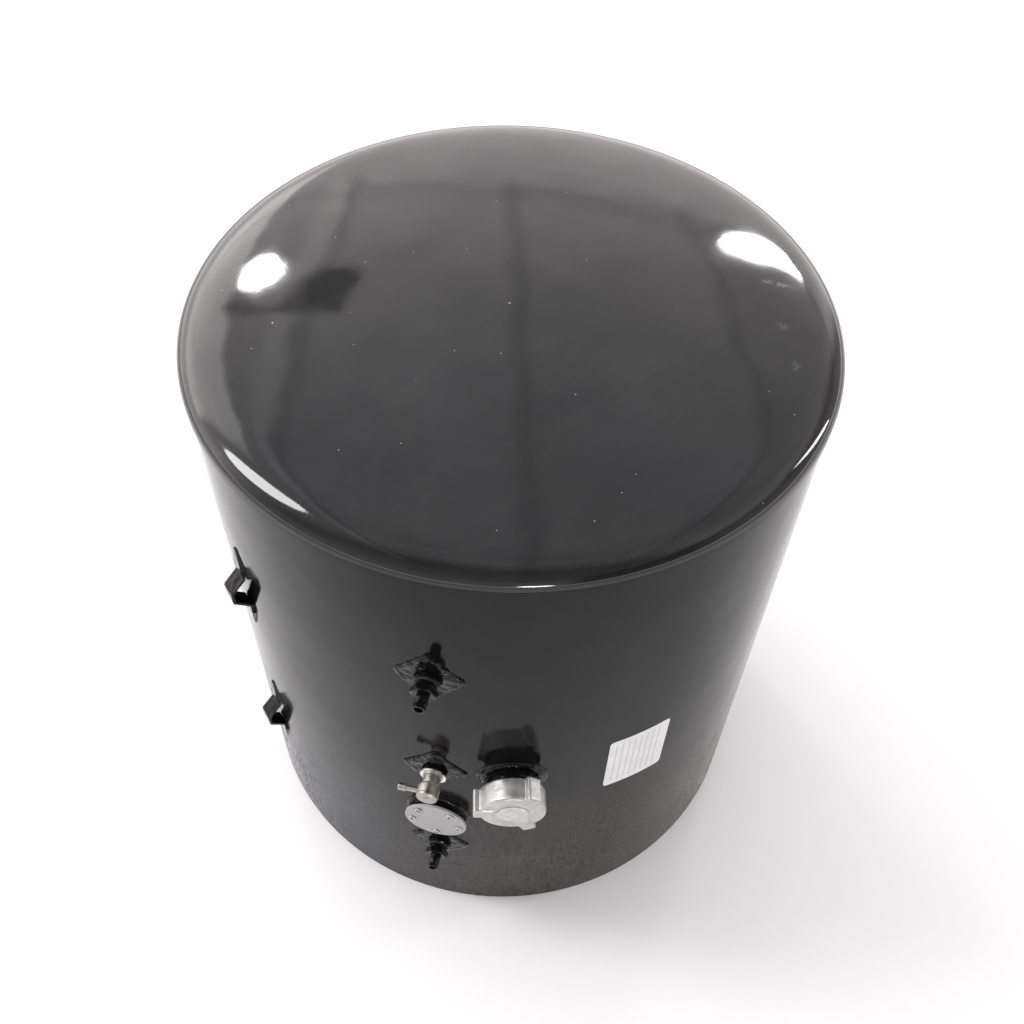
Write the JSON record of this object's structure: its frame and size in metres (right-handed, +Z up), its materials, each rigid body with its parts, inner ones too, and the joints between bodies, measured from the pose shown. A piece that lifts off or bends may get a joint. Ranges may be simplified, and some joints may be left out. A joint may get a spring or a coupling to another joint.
{
  "type": "expansion vessel",
  "caption": "Upright cylindrical black steel expansion vessel with a domed top, screwed filler cap, pipe stubs, vent cock and blanked sensor port.",
  "frame": {"origin": "centre of the ring that the vessel stands on, which is the lower edge of the shell", "axes": "+Z up along the drum's axis; the column of ports faces -Y; +X to the right of the ports"},
  "size_m": [0.641, 0.6792, 0.7294],
  "materials": {
    "black_enamel": "high gloss",
    "seal_rubber": "matte",
    "bright_washer": "bright",
    "nickel_plate": "satin",
    "cover_metal": "matte",
    "zinc_screws": "satin",
    "cast_alloy": "cast, matte",
    "cap_disc_metal": "satin",
    "valve_brass": "machined",
    "valve_steel": "pressed",
    "spring_steel": "drawn wire",
    "label_film": "matte"
  },
  "bodies": {
    "root": {"shell": "black_enamel", "shell_butt_weld": "black_enamel", "top_head": "black_enamel", "bottom_head": "black_enamel", "top_lap_weld": "black_enamel", "bottom_lap_weld": "black_enamel", "upper_pad": "black_enamel", "upper_pad_weld": "black_enamel", "upper_boss": "black_enamel", "middle_pad": "black_enamel", "middle_pad_weld": "black_enamel", "middle_boss": "black_enamel", "lower_pad": "black_enamel", "lower_pad_weld": "black_enamel", "lower_boss": "black_enamel", "upper_adapter": "black_enamel", "upper_nut": "black_enamel", "upper_stub": "black_enamel", "lower_adapter": "black_enamel", "lower_nut": "black_enamel", "lower_stub": "black_enamel", "cover_boss": "black_enamel", "cover_weld": "black_enamel", "filler_neck": "black_enamel", "filler_neck_weld": "black_enamel", "upper_bracket": "black_enamel", "upper_bracket_welds": "black_enamel", "lower_bracket": "black_enamel", "lower_bracket_welds": "black_enamel", "upper_seal": "seal_rubber", "lower_seal": "seal_rubber", "cover_gasket": "seal_rubber", "vent_washer": "bright_washer", "vent_body": "nickel_plate", "cover_plate": "cover_metal", "cover_screws": "zinc_screws", "label": "label_film"},
    "vent_cock": {"vent_plug": "nickel_plate", "vent_o_ring": "seal_rubber", "vent_knob": "nickel_plate"},
    "cap_carrier": {"cap_gasket": "seal_rubber", "valve_guide": "valve_brass", "guide_clip": "valve_steel", "relief_spring": "spring_steel"},
    "filler_cap": {"filler_cap": "cast_alloy", "cap_disc": "cap_disc_metal"},
    "relief_valve": {"relief_plate": "valve_steel", "relief_seal": "seal_rubber"}
  },
  "joints": [
    {"name": "vent_turn", "type": "hinge", "parent": "root", "child": "vent_cock", "pos_m": [0, -0.34, 0.35], "axis": [0, -1, 0], "range_deg": [0, 90]},
    {"name": "cap_rise", "type": "slide", "parent": "root", "child": "cap_carrier", "axis": [0.2504, -0.9681, 0], "range_m": [0, 0.0061]},
    {"name": "cap_turn", "type": "hinge", "parent": "cap_carrier", "child": "filler_cap", "pos_m": [0.08863, -0.34272, 0.35], "axis": [0.2504, -0.9681, 0], "range_deg": [0, 540]},
    {"name": "relief_lift", "type": "slide", "parent": "cap_carrier", "child": "relief_valve", "axis": [0.2504, -0.9681, 0], "range_m": [0, 0.004], "stiffness_N_per_m": 1500, "springref_m": -0.004, "deforming": ["relief_spring"]}
  ],
  "couplings": [
    {"joint": "cap_rise", "follows": "cap_turn", "m_per_rad": 0.00063662}
  ]
}
